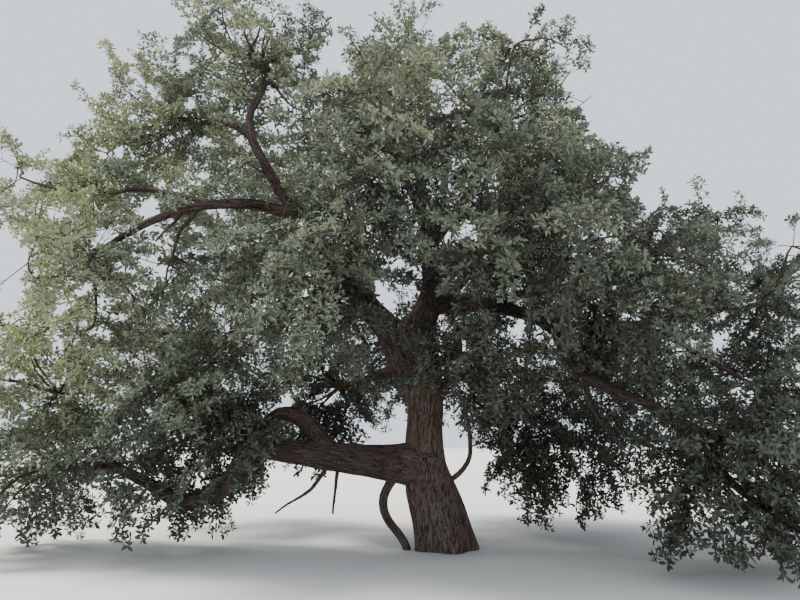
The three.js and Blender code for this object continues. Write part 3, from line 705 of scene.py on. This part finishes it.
axes = [limbs[name] for name in solidLimbs]
axisStarts = np.array([a for points, _ in axes for a in points[:-1]])
axisWays = np.array([b - a for points, _ in axes for a, b in zip(points, points[1:])])
axisSizes = np.array([pair for _, radii in axes for pair in zip(radii, radii[1:])])


def clearOfLimbs(points):
    places = np.array(points).reshape(-1, 1, 3)
    share = ((places - axisStarts) * axisWays).sum(2) / (axisWays ** 2).sum(1)
    share = np.clip(share, 0, 1)
    away = np.linalg.norm(places - axisStarts - share[..., None] * axisWays, axis=2)
    room = axisSizes[:, 0] + (axisSizes[:, 1] - axisSizes[:, 0]) * share + growth["room"]
    return bool((away >= room).all())


def makeSpace(mass, spill=1, skirt=0, meet=-growth["space"] / 2, ground=growth["ground"]):
    # The space of a mass: its rounded outline, less what lies nearer to a neighbour or the ground
    middle, half = Vector(mass[2]), Vector(mass[3]) / 2
    walls = []
    for other in masses:
        if other is mass:
            continue
        away = Vector(other[2]) - middle
        share = (away.length ** 2 + (sum(half) / 3) ** 2 - (sum(other[3]) / 6) ** 2) / 2 / away.length
        walls.append((away.normalized(), share + meet))

    def holds(point):
        off = point - middle
        if point.z < ground or not all(cadBox[0][i] < point[i] < cadBox[1][i] for i in range(3)):
            return False
        if off.z < 0:
            off.z /= 1 + skirt
        if sum((off[i] / half[i]) ** 2 for i in range(3)) > spill:
            return False
        return all(off.dot(away) < room for away, room in walls)

    return middle, half, holds


def placeIn(space, rand, shell):
    middle, half, _ = space
    height = 2 * next(rand) - 1
    turn = 2 * math.pi * next(rand)
    flat = math.sqrt(1 - height ** 2)
    share = shell[0] + (shell[1] - shell[0]) * math.sqrt(next(rand))
    way = Vector((flat * math.cos(turn) * half.x, flat * math.sin(turn) * half.y, height * half.z))
    return middle + share * way


def scatterTips(count, tips, stemEnd, space, rand, shell):
    for _ in range(count):
        best, bestGap = None, -1
        for _ in range(growth["choices"]):
            point = placeIn(space, rand, shell)
            if not space[2](point) or not clearOfLimbs(point):
                continue
            gap = min((point - other).length for other in [*tips, stemEnd])
            if gap > bestGap:
                best, bestGap = point, gap
        if best:
            tips.append(best)
    return tips


def newNode(at, parent, back):
    # A fork or tip: what it grows on, how far back the stem is, the tips it carries and its twigs
    return {"at": at, "parent": parent, "back": back, "load": 0, "twigs": []}


def branch(nodes, tips, space):
    # Joins each tip, nearest first, to whatever gives it the shortest way back to the stem
    first = nodes[0]["at"]
    for at in sorted(tips, key=lambda tip: (tip - first).length):
        best, bestWay = None, math.inf
        for node in nodes:
            distance = (node["at"] - at).length
            way = distance + growth["wayBack"] * node["back"]
            middle = node["at"].lerp(at, 0.5)
            if way < bestWay and space[2](middle) and clearOfLimbs(middle) and not crossesGap(node["at"], at):
                best, bestWay = newNode(at, node, node["back"] + distance), way
        if best:
            nodes.append(best)
            best["parent"]["twigs"].append(best)


def clearGaps(nodes):
    # Takes off the twigs that end in a gap of the crown
    while True:
        stray = [node for node in nodes[1:] if not node["twigs"] and inGap(node["at"])]
        if not stray:
            return
        for node in stray:
            parent = node["parent"]
            parent["twigs"] = [twig for twig in parent["twigs"] if twig is not node]
        nodes[:] = [node for node in nodes if not any(node is other for other in stray)]


def runsOf(root, radius, nodes):
    # Splits the branching into runs: each goes on along the most loaded twig to a tip
    for tip in nodes[1:]:
        node = tip
        while node:
            node["load"] += 1
            node = node["parent"]
    power = math.log(growth["firstTwig"] * radius / growth["twigTip"]) / math.log(max(nodes[0]["load"], 2))
    runs = []

    def follow(run, node, most):
        size = min(growth["twigTip"] * max(node["load"], 1) ** power, most)
        twigs = sorted(node["twigs"], key=lambda twig: -twig["load"])
        run[0].append(node["at"])
        run[1].append(size if twigs else size * growth["twigFork"])
        for index, twig in enumerate(twigs):
            if index == 0:
                follow(run, twig, size)
                continue
            side = ([node["at"]], [size * growth["twigFork"]])
            runs.append(side)
            follow(side, twig, size * growth["twigFork"])

    stem = ([root], [radius])
    runs.append(stem)
    follow(stem, nodes[0], radius)
    return runs


def bentRun(points, radii, stray, rand):
    # A run with a slight crook halfway along each stretch, then made smooth
    bent, sizes = [points[0]], [radii[0]]
    for i in range(1, len(points)):
        way = points[i] - points[i - 1]
        aside = way.cross(direction(360 * next(rand), growth["crookRise"])).normalized() * way.length * stray
        bent += [points[i - 1].lerp(points[i], 0.5) + aside, points[i]]
        sizes += [(radii[i - 1] + radii[i]) / 2, radii[i]]
    return smoothPath(bent, sizes, growth["twigStep"])


class Pile:
    # Gathers vertices and triangles of one kind until they become a piece

    def __init__(self):
        self.points, self.faces, self.tones, self.count = [], [], [], 0

    def add(self, points, faces, tones=None):
        self.points.append(points)
        self.faces.append(faces + self.count)
        self.count += len(points)
        self.tones.append(np.zeros(len(faces), int) if tones is None else tones)

    def makePiece(self, name, materials, smooth):
        points, faces = np.concatenate(self.points), np.concatenate(self.faces)
        mesh = bpy.data.meshes.new(name)
        mesh.vertices.add(len(points))
        mesh.vertices.foreach_set("co", points.astype(np.float32).ravel())
        mesh.loops.add(len(faces) * 3)
        mesh.loops.foreach_set("vertex_index", faces.astype(np.int32).ravel())
        mesh.polygons.add(len(faces))
        mesh.polygons.foreach_set("loop_start", np.arange(0, len(faces) * 3, 3, dtype=np.int32))
        for material in materials:
            mesh.materials.append(material)
        mesh.polygons.foreach_set("material_index", np.concatenate(self.tones).astype(np.int32))
        mesh.polygons.foreach_set("use_smooth", np.full(len(faces), smooth))
        mesh.update(calc_edges=True)
        mesh.validate()
        piece = bpy.data.objects.new(name, mesh)
        bpy.context.scene.collection.objects.link(piece)
        return piece


def addTwig(pile, points, radii, sides):
    # A tapering twig that closes in a point past its last ring
    side = Vector(growth["firstSide"])
    rings = []
    for i, at in enumerate(points):
        ahead = (points[min(i + 1, len(points) - 1)] - points[max(i - 1, 0)]).normalized()
        side = (side - ahead * side.dot(ahead)).normalized()
        other = ahead.cross(side)
        for k in range(sides):
            turn = 2 * math.pi * k / sides
            rings.append(at + (side * math.cos(turn) + other * math.sin(turn)) * radii[i])
    rings.append(points[-1] + ahead * radii[-1] * growth["pointed"])
    faces = []
    for row in range(len(points) - 1):
        for k in range(sides):
            a, b = row * sides + k, row * sides + (k + 1) % sides
            faces += [(a, b, b + sides), (a, b + sides, a + sides)]
    last = (len(points) - 1) * sides
    faces += [(last + k, last + (k + 1) % sides, len(rings) - 1) for k in range(sides)]
    pile.add(np.array(rings), np.array(faces))


eye = Vector(viewpoint["place"])
gapLines = np.array([Vector((across, 0, high)) - eye for across, high, _ in crownGaps])
gapWidths = np.array([gap[2] for gap in crownGaps])


def inGap(point):
    # Whether a place closes a gap in the crown, seen from the front
    way = np.array(point - eye)
    share = gapLines @ way / (gapLines ** 2).sum(1)
    off = np.linalg.norm(way - share[:, None] * gapLines, axis=1)
    return bool((off < gapWidths * share).any())


def crossesGap(start, end):
    return any(inGap(start.lerp(end, share)) for share in growth["testedAt"])


spray = {
    "longest": 1.4,
    "shortest": 0.6,
    "shrink": 0.9,  # tried shorter by this until it fits
    "outward": 0.8,  # how much a spray heads out of the crown rather than by chance
    "tries": 7,
    "width": 0.66,  # share of its length
    "middle": 0.65,  # of its leaves, as a share of its length
    "testedAt": (0.4, 0.7, 1),  # shares of its length that are tested against the boughs, and the gaps:
    "gapTestedAt": (0.6, 1),
    "tilt": 0.9,  # how far its face strays from level
    "hang": 0.6,  # times how strongly its mass hangs: how far it heads down
    "sideShoots": 14,
    "fewest": 6,
    "shootsFrom": 0.14,  # side shoots stand on this share of the way along, and on:
    "shootsOver": 0.82,
    "shootStray": 0.7,
    "outline": (0.92, 0.06, 0.8, 0.2),  # a half wave: its stretch and start, its height and least width
    "reach": (0.7, 0.6),  # least share of that width that a side shoot fills, and how much more it may
    "sideAngle": 48,
    "angleStray": 24,
    "lift": 0.4,  # how far side shoots stray out of the spray's face
    "liftLow": 0.8,  # of 2, the share of them that strays down
    "shootHang": 0.5,
    "shorter": 0.5,  # a side shoot with no room is tried once more at this share
    "rosetteApart": 0.135,
    "rosetteFrom": 0.7,  # in steps from the shoot's root, where the first one stands
    "rosetteSide": 0.5,
    "rosetteAbove": 0.2,
    "rosetteAhead": 0.7,
    "stem": 0.035,  # rosettes between the shoots' tips stand this far off
    "rootThick": 0.011,
    "taper": (0.8, 0.6, 0.45),  # at equal steps along the main shoot, as shares of the root
    "tipThick": 0.003,
    "sag": 0.06,  # as a share of its length, and more where its mass hangs:
    "massSag": 0.25,
}


def sagOf(mass):
    return spray["sag"] + spray["massSag"] * mass[5]


def trySpray(runs, space, mass, rand):
    # A spray on some twig, as long as its mass has room for: root, heading, turn and length
    points = runs[int(next(rand) * len(runs))][0]
    at = pointOn(points, next(rand))
    heading = 360 * next(rand)
    stray = direction(heading, math.degrees(math.asin(2 * next(rand) - 1)))
    middle, half, holds = space
    out = Vector(((at[i] - middle[i]) / half[i] for i in range(3)))
    ahead = (out * spray["outward"] + stray - up * mass[5] * spray["hang"]).normalized()
    turn = next(rand)
    length = spray["longest"]
    while length > spray["shortest"]:
        tip = at + ahead * length
        if holds(tip - up * sagOf(mass) * length) and holds(at.lerp(tip, 0.5)):
            clear = clearOfLimbs([at.lerp(tip, share) for share in spray["testedAt"]])
            if not clear or any(inGap(at.lerp(tip, share)) for share in spray["gapTestedAt"]):
                return None
            return at, ahead, turn, length
        length *= spray["shrink"]
    return None


def growSpray(pile, rosettes, found, mass, space, tone, rand):
    # One spray: a main shoot with side shoots in a leaf-like outline, and rosettes along them
    at, ahead, turn, length = found
    flat = up + Vector((2 * turn - 1, 2 * next(rand) - 1, 0)) * spray["tilt"]
    across = ahead.cross(flat).normalized()
    above = across.cross(ahead).normalized()
    sag = sagOf(mass) * length
    main = [at + ahead * length * s - up * sag * s * s for s in (0, 0.25, 0.5, 0.75, 1)]
    root, tip = spray["rootThick"], spray["tipThick"]
    addTwig(pile, main, [root, *(root * share for share in spray["taper"]), tip], 3)
    rosettes.append((main[-1], (main[-1] - main[-2]).normalized(), tone))
    count = max(round(spray["sideShoots"] * length / spray["longest"]), spray["fewest"])
    stretch, first, high, least = spray["outline"]
    short, more = spray["reach"]
    for k in range(count):
        share = spray["shootsFrom"] + spray["shootsOver"] * (k + next(rand) * spray["shootStray"]) / count
        start = pointOn(main, share)
        profile = math.sin(math.pi * min(share * stretch + first, 1)) * high + least
        reach = spray["width"] / 2 * length * profile * (short + more * next(rand))
        angle = math.radians(spray["sideAngle"] + spray["angleStray"] * (next(rand) - 0.5))
        side = 1 if k % 2 else -1
        way = ahead * math.cos(angle) + across * side * math.sin(angle)
        way = way + above * spray["lift"] * (2 * next(rand) - spray["liftLow"])
        way = (way - up * mass[5] * spray["shootHang"] * next(rand)).normalized()
        if not space[2](start + way * reach):
            reach *= spray["shorter"]
            if not space[2](start + way * reach):
                continue
        end = start + way * reach
        if inGap(end):
            continue
        addTwig(pile, [start, end], [root * spray["taper"][-1], tip], 3)
        rosettes.append((end, way, tone))
        places, begin = int(reach / spray["rosetteApart"]), spray["rosetteFrom"]
        for step in range(places):
            aside = across * (side if step % 2 else -side) * spray["rosetteSide"]
            aside = aside + above * (next(rand) + spray["rosetteAbove"])
            stem = start + way * reach * (step + begin) / (places + begin) + aside * spray["stem"]
            rosettes.append((stem, (way * spray["rosetteAhead"] + aside).normalized(), tone))


boughShoot = {
    "lengths": (0.6, 1.1),
    "span": 0.05,  # shares of the bough that its heading is taken over, before and after
    "ahead": 0.5,  # how far they head along the bough
    "rises": (-20, 60),  # lowest, and how much higher they may
    "hang": 0.4,
    "sunk": 0.8,  # they start at this share of the bough's half thickness
}


def growOnBough(mass, twigs, rosettes, rand):
    # Shoots straight from a bough, round it and a little ahead
    bough, low, high, count = boughSprays[mass[0]]
    points, radii = limbs[bough]
    air = makeSpace(mass, math.inf, 0, math.inf, growth["sprayGround"])
    shortest, longest = boughShoot["lengths"]
    lowest, more = boughShoot["rises"]
    for _ in range(count):
        share = low + (high - low) * next(rand)
        at = pointOn(points, share)
        before = pointOn(points, share - boughShoot["span"])
        after = pointOn(points, min(share + boughShoot["span"], 1))
        ahead = (after - before).normalized()
        out = direction(360 * next(rand), more * next(rand) + lowest)
        out = (out - ahead * out.dot(ahead)).normalized()
        way = (out + ahead * boughShoot["ahead"] - up * mass[5] * boughShoot["hang"]).normalized()
        root = at + out * along(radii, share) * boughShoot["sunk"]
        found = (root, way, next(rand), shortest + (longest - shortest) * next(rand))
        if air[2](root + way * found[3] - up * sagOf(mass)):
            growSpray(twigs, rosettes, found, mass, air, paintedLightToneOf(root, rand), rand)


openEdge = {
    "step": 0.12,  # between the places tested along an open stretch of bough
    "beside": 0.05,
    "ragged": (0.75, 1.2),  # leaves keep clear by so many times the half width
}


def sightLines():
    # Places that stay open from the front: where, how wide, and whether right through the crown
    lines = [(eye + Vector(line), wide, True) for line, wide in zip(gapLines, gapWidths)]
    for name, low, high in openBoughs:
        path, sizes = smoothPath(*limbs[name], openEdge["step"])
        first, last = int(low * len(path)), int(high * len(path))
        lines += [(path[i], sizes[i] + openEdge["beside"], False) for i in range(first, last)]
    return lines


def leaveOpen(rosettes, rng):
    # Leaves out most rosettes that would hide what the photo shows open
    ways = np.array([r[0] - eye for r in rosettes])
    ragged = rng.uniform(*openEdge["ragged"], len(ways))
    stays = rng.uniform(0, 1, len(ways)) > growth["leftOut"]
    kept = np.ones(len(ways), bool)
    for place, wide, through in sightLines():
        line = np.array(place - eye)
        share = ways @ line / (line @ line)
        off = np.linalg.norm(ways - share[:, None] * line, axis=1)
        hides = (off < wide * share * ragged) & (through | (share < 1))
        kept &= ~hides | (stays & (not through))
    return [r for r, keep in zip(rosettes, kept) if keep]


# Leaves stand in rosettes: young narrow ones inside, grown ones round them. An outline gives the
# share along the leaf and the share of its half width, and tilt is in degrees from the shoot.
leafKinds = {
    "young": {
        "first": 0,
        "count": 3,
        "length": 0.093,
        "width": 0.034,
        "tilt": (14, 45),
        "outline": [(0, 0), (0.6, 1), (1, 0), (0.6, -1)],
        "faces": [(0, 2, 1), (0, 3, 2)],
        "tone": 1,
    },
    "grown": {
        "first": 3,
        "count": 4,
        "length": 0.124,
        "width": 0.054,
        "tilt": (48, 88),
        "outline": [(0, 0), (0.45, 0.85), (0.82, 0.85), (1, 0), (0.62, -1)],
        "faces": [(0, 2, 1), (0, 3, 2), (0, 4, 3)],
        "tone": 0,
    },
}
rosette = {
    "fold": 0.011,  # how far a leaf's edges stand above its rib
    "droop": 0.018,
    "upright": 0.9,  # a way that goes up so much measures its turns from another side
    "toLight": 0.5,  # how far a shoot's tip turns up
    "wayStray": 0.18,
    "stagger": 0.007,  # each next leaf roots this far behind
    "turn": 137.5,  # degrees from leaf to leaf
    "turnStray": 0.25,
    "turnWith": (40, 31),  # first turn in radians, for each metre across and up
    "tiltStray": 8,
    "sizes": (0.75, 1.15),
    "toneStray": 0.3,
}


def leafArrays(rosettes, kind, rng):
    # All leaves of a kind at once, folded along the rib and drooping at the tip
    count = kind["count"]
    number = np.tile(np.arange(count) + kind["first"], len(rosettes))
    places = np.repeat(np.array([r[0] for r in rosettes]), count, axis=0)
    stray = rosette["toneStray"]
    tones = np.array([r[2] for r in rosettes]) + rng.uniform(-stray, stray, len(rosettes)) + kind["tone"]
    tones = np.clip(tones, 0, len(leafTones) - 1).astype(int)
    ways = np.array([r[1] for r in rosettes])
    ways = ways + np.array([0, 0, rosette["toLight"]]) + rng.normal(0, rosette["wayStray"], ways.shape)
    ways = np.repeat(ways / np.linalg.norm(ways, axis=1)[:, None], count, axis=0)
    total = len(places)
    x, z = rosette["turnWith"]
    phase = np.repeat(np.array([r[0].x * x + r[0].z * z for r in rosettes]), count)
    turn = phase + number * math.radians(rosette["turn"]) + rng.normal(0, rosette["turnStray"], total)
    low, high = kind["tilt"]
    tilt = low + (high - low) * (number - kind["first"]) / (count - 1)
    tilt = np.radians(tilt + rng.normal(0, rosette["tiltStray"], total))
    guide = np.where(np.abs(ways[:, 2:]) < rosette["upright"], [[0.0, 0, 1]], [[1.0, 0, 0]])
    first = np.cross(guide, ways)
    first /= np.linalg.norm(first, axis=1)[:, None]
    outward = first * np.cos(turn)[:, None] + np.cross(ways, first) * np.sin(turn)[:, None]
    ahead = ways * np.cos(tilt)[:, None] + outward * np.sin(tilt)[:, None]
    above = ways - ahead * (ways * ahead).sum(1)[:, None]
    above /= np.linalg.norm(above, axis=1)[:, None]
    side = np.cross(above, ahead)
    size = rng.uniform(*rosette["sizes"], total)[:, None]
    root = places - ways * (rosette["stagger"] * number)[:, None]
    corners = []
    for onward, aside in kind["outline"]:
        lift = rosette["fold"] * abs(aside) - rosette["droop"] * onward ** 2
        spot = ahead * kind["length"] * onward + side * kind["width"] / 2 * aside + above * lift
        corners.append(root + spot * size)
    faces = np.arange(total)[:, None, None] * len(corners) + np.array(kind["faces"])
    faceTones = np.repeat(np.repeat(tones, count), len(kind["faces"]))
    return np.stack(corners, axis=1).reshape(-1, 3), faces.reshape(-1, 3), faceTones


# Six greens from dark to light: the darker ones are painted shade, the lighter ones painted sunlight, and
# younger leaves are one tone lighter
leafTones = {
    "waxyLeafPaintedDeepShade": "#404539",
    "waxyLeafPaintedShade": "#52594b",
    "waxyLeafMid": "#6a7261",
    "waxyLeafPaintedLit": "#838b72",
    "waxyLeafFreshAndPaintedLit": "#9ba27c",
    "waxyLeafYoungAndPaintedSun": "#b3b782",
}


def makeLeafMaterials():
    # Leathery leaves with a thin wax layer: a soft broad sheen over plain greens, dealt out by spray. The
    # greens carry painted light and shade, besides leaf age and chance.
    dull = {"Roughness": 0.44, "Specular IOR Level": 0.5}
    return [newMaterial(name, {"Base Color": toLinear(colour), **dull}) for name, colour in leafTones.items()]


twigSkin = {
    "specks": (45, 4, 0.5),
    "tones": [(0.3, "#33291f"), (0.55, "#4b3e33"), (0.75, "#6f6253")],
    "relief": (0.5, 0.004),
}


def makeTwigMaterial():
    # Young bark: thin, smoother and darker than the trunk's. Its pale specks, a few millimetres wide
    # on a real twig, are drawn as coarse as they need to show.
    material = newMaterial("youngBark", {"Roughness": 0.85, "Specular IOR Level": 0.3})
    tree = material.node_tree
    specks = addNoise(tree, addNode(tree, "TexCoord", {}, "Object"), *twigSkin["specks"])
    dress(tree, addRamp(tree, specks, twigSkin["tones"]), specks, *twigSkin["relief"])
    return material


leafMaterials = makeLeafMaterials()
twigMaterial = makeTwigMaterial()

# Each region of the crown becomes one piece of twigs and one of leaves, from these masses
regions = {
    "upper_left": ["top_left", "upper_left", "left_tip", "left_mid", "left_inner"],
    "lower_left": ["left_reach", "left_low", "left_bottom", "left_arch", "front_left"],
    "upper_centre": ["front", "top_centre", "front_low", "front_right"],
    "upper_right": ["top_right", "right_high", "right_shoulder", "right_mid"],
    "lower_right": ["far_right", "right_inner", "right_drop", "right_edge", "right_foot"],
    "back_left": ["back_left_high", "back_left_low", "back_low"],
    "back_right": ["back_right_high", "back_right_low"],
}


# Painted light and shade in the greens, counted in tones: brighter towards the outside, the top and the left
# of the crown as painted sunlight, darker under its middle and near the ground as painted shade, with chance
# on top
crownPaintedLight = {
    "middle": Vector((0, 0, 1.5)),
    "half": (8.5, 7.5, 9.3),
    "least": -0.1,
    "outward": 3.2,
    "outMost": 0.85,
    "perMetre": 0.11,  # painted sunlight, more towards the left
    "farLeft": (0.35, -6),  # more per metre, past this place
    "low": (0.8, 3.2),  # painted shade: less per metre, below this height
    "under": (0.33, 6, 5),  # painted shade under the crown: less per metre below this height, within so far of the trunk
    "chance": 1.6,
}


# A spray's tone: painted light and shade from its place in the crown, plus chance
def paintedLightToneOf(place, rand):
    tone = crownPaintedLight
    off = place - tone["middle"]
    out = Vector((off[i] / tone["half"][i] for i in range(3))).length
    value = tone["least"] + tone["outward"] * min(out, tone["outMost"]) - tone["perMetre"] * place.x
    step, edge = tone["farLeft"]
    value = value + step * max(edge - place.x, 0)
    step, high = tone["low"]
    underStep, underHigh, beside = tone["under"]
    under = underStep * max(underHigh - place.z, 0) * max(1 - abs(place.x) / beside, 0)
    value -= step * max(high - place.z, 0) + under
    return value + tone["chance"] * (next(rand) - 0.5)


def growMass(mass, index, twigs, rosettes):
    rand = seeded(growth["seed"] + index * growth["seedStep"])
    space = makeSpace(mass)
    middle, half, _ = space
    points, radii = limbs[mass[1]]
    onTrunk = mass[1] == "trunk"
    start = pointOn(points, growth["onTrunkAt"]) if onTrunk else points[-1]
    entry = entryOf(middle, half, start) if onTrunk else start
    stemEnd = entry.lerp(middle, growth["stemReach"])
    surface = along(trunk["widths"], growth["onTrunkAt"]) / 2 if onTrunk else 0
    root = start + (middle - start).normalized() * (surface - growth["stemSunk"])
    radius = growth["stemOnTrunk"] if onTrunk else radii[-1] * growth["stemThick"]
    count = int(4 * math.pi * (sum(half) / 3) ** 2 / growth["areaPerLeaf"] + 0.5)
    tips = scatterTips(math.ceil(count / growth["leavesPerTip"]), [], stemEnd, space, rand, growth["shell"])
    nodes = [newNode(stemEnd, None, 0)]
    branch(nodes, tips, space)
    finer = scatterTips(round(len(tips) * growth["finerTips"]), list(tips), stemEnd, space, rand,
                        growth["finerShell"])
    branch(nodes, finer[len(tips):], space)
    clearGaps(nodes)
    runs = [bentRun(*run, growth["crook"], rand) for run in runsOf(root, radius, nodes)]
    many, few, thin = growth["sides"]
    for run in runs:
        addTwig(twigs, *run, many if run[1][0] > thin else few)
    taken = []
    space = makeSpace(mass, growth["spill"], growth["skirt"] * mass[5], growth["overlap"],
                      growth["sprayGround"])
    for _ in range(round(count * growth["sprays"] * mass[4])):
        best, bestSpot, bestGap = None, None, 0
        for _ in range(spray["tries"]):
            found = trySpray(runs, space, mass, rand)
            if not found:
                continue
            spot = found[0] + found[1] * found[3] * spray["middle"]
            gap = min(((spot - other).length for other in taken), default=1)
            if gap > bestGap:
                best, bestSpot, bestGap = found, spot, gap
        if best:
            taken.append(bestSpot)
            growSpray(twigs, rosettes, best, mass, space, paintedLightToneOf(bestSpot, rand), rand)
    if mass[0] in boughSprays:
        growOnBough(mass, twigs, rosettes, rand)


rng = np.random.default_rng(growth["seed"])
massPlaces = {mass[0]: index for index, mass in enumerate(masses)}
for region, names in regions.items():
    twigPile, leafPile, rosettes = Pile(), Pile(), []
    for name in names:
        growMass(masses[massPlaces[name]], massPlaces[name], twigPile, rosettes)
    rosettes = leaveOpen(rosettes, rng)
    for kind in leafKinds.values():
        leafPile.add(*leafArrays(rosettes, kind, rng))
    twigPiece = twigPile.makePiece("twigs_" + region, [twigMaterial], True)
    leafPiece = leafPile.makePiece("leaves_" + region, leafMaterials, False)
    for piece in (twigPiece, leafPiece):
        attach(piece, "root")
        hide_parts(*("foliage_" + name for name in names))
    print("crown", region, len(rosettes), "rosettes", len(leafPiece.data.polygons), "leaf faces",
          len(twigPiece.data.polygons), "twig faces")


# Floor, light and camera

studio = {
    "floor": "#d9d8d4",
    "floorWide": 260,  # half width, so that its edge lies far behind the crown
    "floorDrop": 0.002,
    "air": "#e1e9f2",
    "airStrength": 1.5,
    "sun": 6.4,
    "sunColour": "#fffaf0",
    "sunSoft": 16,
    "sunTurn": (-8, -42, 0),
}


def makeStudio():
    selectOnly()
    bpy.ops.mesh.primitive_circle_add(vertices=96, radius=studio["floorWide"], fill_type="NGON",
                                      location=(0, 0, -studio["floorDrop"]))
    floor = bpy.context.active_object
    floor.name = "studio_floor"
    floor.data.materials.append(newMaterial("paleFloor", {"Base Color": toLinear(studio["floor"]),
                                                          "Roughness": 0.9}))
    world = bpy.data.worlds.new("softAir")
    world.use_nodes = True
    air = world.node_tree.nodes["Background"].inputs
    air["Color"].default_value = toLinear(studio["air"])
    air["Strength"].default_value = studio["airStrength"]
    bpy.context.scene.world = world
    bpy.ops.object.light_add(type="SUN", rotation=[math.radians(a) for a in studio["sunTurn"]])
    lamp = bpy.context.active_object.data
    lamp.energy = studio["sun"]
    lamp.color = toLinear(studio["sunColour"])[:3]
    lamp.angle = math.radians(studio["sunSoft"])


makeStudio()

bpy.ops.object.camera_add(location=viewpoint["place"], rotation=(math.radians(90 + viewpoint["tilt"]), 0, 0))
camera = bpy.context.active_object
camera.data.lens = viewpoint["lens"]
camera.data.sensor_width = viewpoint["film"]
camera.data.clip_end = viewpoint["far"]
bpy.context.scene.camera = camera
